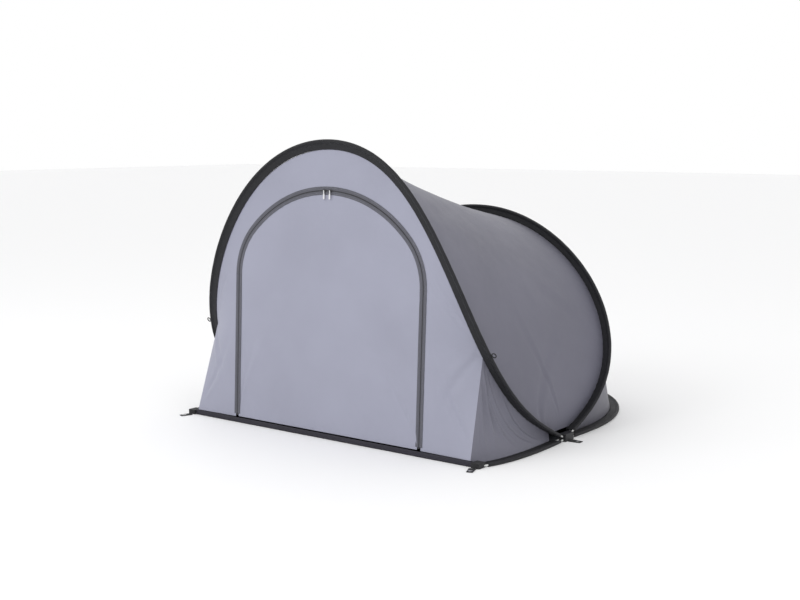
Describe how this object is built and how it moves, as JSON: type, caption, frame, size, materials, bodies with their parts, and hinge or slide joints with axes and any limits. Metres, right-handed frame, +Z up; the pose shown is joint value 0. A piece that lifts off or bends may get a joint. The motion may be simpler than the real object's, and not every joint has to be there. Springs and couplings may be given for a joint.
{
  "type": "pop-up tent",
  "caption": "Closed pop-up tent on sprung rod rings, with a flat front wall, an arched zipped door, a saddle-shaped canopy, a sloping rear wall and a floor.",
  "frame": {"origin": "on the ground at the middle of the floor's underside", "axes": "+Z up, +Y to the rear wall, -Y out of the door, +X to the right seen from the front"},
  "size_m": [1.597, 1.5185, 1.1014],
  "materials": {
    "rod_fibreglass": "smooth off-white fibreglass",
    "ferrule_metal": "satin brass",
    "sleeve_fabric": "black woven polyester sleeve",
    "hem_fabric": "dark navy binding tape",
    "wall_fabric": "silver-grey coated polyester",
    "canopy_fabric": "dark slate-grey coated polyester",
    "floor_fabric": "dark grey groundsheet",
    "zip_tape": "dark grey zip tape",
    "zip_coil": "nylon coil",
    "clip_plastic": "black moulded plastic",
    "webbing": "black webbing",
    "eyelet_steel": "plated steel",
    "slider_metal": "black enamelled zinc",
    "pull_metal": "bright plated zinc"
  },
  "bodies": {
    "tent": {"front_arch_rod": "rod_fibreglass", "rear_arch_rod": "rod_fibreglass", "rear_ground_rod": "rod_fibreglass", "side_rod_left": "rod_fibreglass", "side_rod_right": "rod_fibreglass", "front_arch_ferrule": "ferrule_metal", "rear_arch_ferrule": "ferrule_metal", "rear_ground_ferrule": "ferrule_metal", "front_arch_sleeve": "sleeve_fabric", "rear_arch_sleeve": "sleeve_fabric", "rear_ground_sleeve": "sleeve_fabric", "side_sleeve_left": "sleeve_fabric", "side_sleeve_right": "sleeve_fabric", "crossing_clip_left": "clip_plastic", "crossing_clip_right": "clip_plastic", "corner_pocket_left": "webbing", "corner_pocket_right": "webbing", "canopy": "canopy_fabric", "rear_wall": "canopy_fabric", "front_wall": "wall_fabric", "side_gusset_left": "canopy_fabric", "side_gusset_right": "canopy_fabric", "floor": "floor_fabric", "front_hem_tape": "hem_fabric", "zip_coil_wall": "zip_coil", "zip_tape_wall": "zip_tape", "zip_stops": "slider_metal", "guy_loop_left": "webbing", "guy_loop_right": "webbing"},
    "door": {"door_panel": "wall_fabric", "zip_coil_door": "zip_coil", "zip_tape_door": "zip_tape"},
    "slider_left": {"slider_left": "slider_metal"},
    "pull_left": {"pull_tab_left": "pull_metal"},
    "peg_tab_left": {"peg_tab_left": "webbing", "peg_eyelet_left": "eyelet_steel"},
    "corner_tab_left": {"corner_tab_left": "webbing", "corner_eyelet_left": "eyelet_steel"},
    "slider_right": {"slider_right": "slider_metal"},
    "pull_right": {"pull_tab_right": "pull_metal"},
    "peg_tab_right": {"peg_tab_right": "webbing", "peg_eyelet_right": "eyelet_steel"},
    "corner_tab_right": {"corner_tab_right": "webbing", "corner_eyelet_right": "eyelet_steel"}
  },
  "joints": [
    {"name": "door_fold", "type": "hinge", "parent": "tent", "child": "door", "pos_m": [0, -0.71565, 0.02997], "axis": [1, 0, 0], "range_deg": [0, 92]},
    {"name": "slider_travel_left", "type": "hinge", "parent": "tent", "child": "slider_left", "pos_m": [0, -0.6988, 0.40447], "axis": [0, -0.999, 0.045], "range_deg": [0, 44]},
    {"name": "pull_swing_left", "type": "hinge", "parent": "slider_left", "child": "pull_left", "pos_m": [-0.01427, -0.68222, 0.91516], "axis": [-0.9996, -0.0013, -0.0279], "range_deg": [0, 120]},
    {"name": "peg_tab_lift_left", "type": "hinge", "parent": "tent", "child": "peg_tab_left", "pos_m": [-0.7525, -0.197, 0.0016], "axis": [0, 1, 0], "range_deg": [0, 90]},
    {"name": "corner_tab_lift_left", "type": "hinge", "parent": "tent", "child": "corner_tab_left", "pos_m": [-0.679, -0.7355, 0.0016], "axis": [-0.9439, 0.3304, 0], "range_deg": [0, 90]},
    {"name": "slider_travel_right", "type": "hinge", "parent": "tent", "child": "slider_right", "pos_m": [0, -0.6988, 0.40447], "axis": [0, -0.999, 0.045], "range_deg": [-44, 0]},
    {"name": "pull_swing_right", "type": "hinge", "parent": "slider_right", "child": "pull_right", "pos_m": [0.01427, -0.68222, 0.91516], "axis": [-0.9996, 0.0013, 0.0279], "range_deg": [0, 120]},
    {"name": "peg_tab_lift_right", "type": "hinge", "parent": "tent", "child": "peg_tab_right", "pos_m": [0.7525, -0.197, 0.0016], "axis": [0, -1, 0], "range_deg": [0, 90]},
    {"name": "corner_tab_lift_right", "type": "hinge", "parent": "tent", "child": "corner_tab_right", "pos_m": [0.679, -0.7355, 0.0016], "axis": [-0.9439, -0.3304, 0], "range_deg": [0, 90]}
  ]
}
